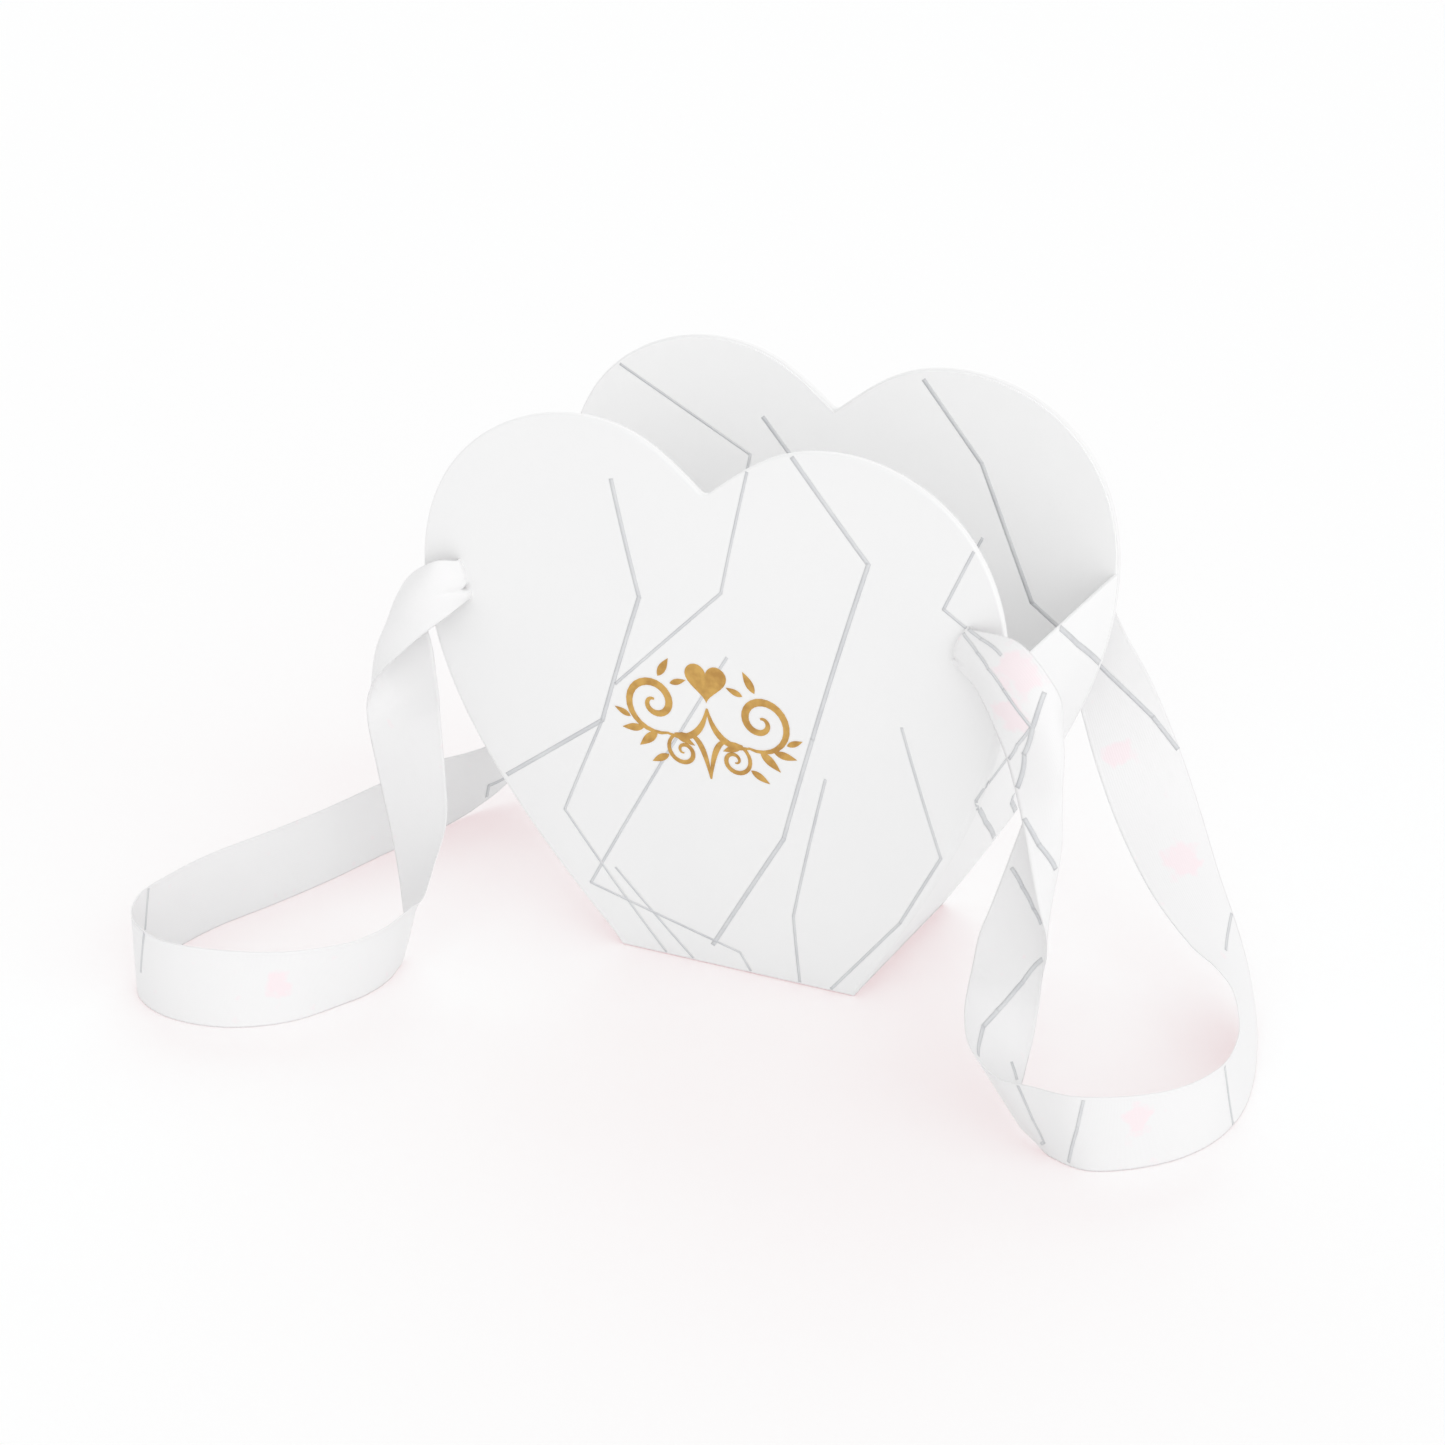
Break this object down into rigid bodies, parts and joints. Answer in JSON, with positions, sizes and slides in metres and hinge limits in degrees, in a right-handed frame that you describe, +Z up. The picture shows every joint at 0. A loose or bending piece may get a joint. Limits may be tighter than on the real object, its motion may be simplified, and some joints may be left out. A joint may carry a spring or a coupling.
{
  "type": "heart-shaped gift box bag with ribbon handles",
  "caption": "White heart-shaped gift or flower box: heart panels front and back, low side walls, a flat base, an open top and satin ribbon loop handles.",
  "frame": {"origin": "centre of the base's underside, on the table", "axes": "+Z up, the front panel faces -Y, +X to the right seen from the front"},
  "size_m": [0.3199, 0.1938, 0.172],
  "materials": {
    "board": "rigid grey board wrapped in matt-laminated white paper",
    "lining": "uncoated white lining paper",
    "wall_card": "matt-laminated white card",
    "insert_card": "uncoated white card",
    "gold_foil": "hot-stamped gold foil",
    "ribbon": "white satin ribbon with woven edges"
  },
  "bodies": {
    "box": {"front_heart_panel": "board", "front_lining": "lining", "back_heart_panel": "board", "back_lining": "lining", "base_panel": "board", "base_insert": "insert_card", "left_side_wall": "wall_card", "right_side_wall": "wall_card", "gold_foil_ornament": "gold_foil"},
    "left_handle": {"left_ribbon_handle": "ribbon"},
    "right_handle": {"right_ribbon_handle": "ribbon"}
  },
  "joints": [
    {"name": "left_handle_swing", "type": "hinge", "parent": "box", "child": "left_handle", "pos_m": [-0.076, 0, 0.12], "axis": [0, 1, 0], "range_deg": [0, 150]},
    {"name": "right_handle_swing", "type": "hinge", "parent": "box", "child": "right_handle", "pos_m": [0.076, 0, 0.12], "axis": [0, -1, 0], "range_deg": [0, 150]}
  ]
}
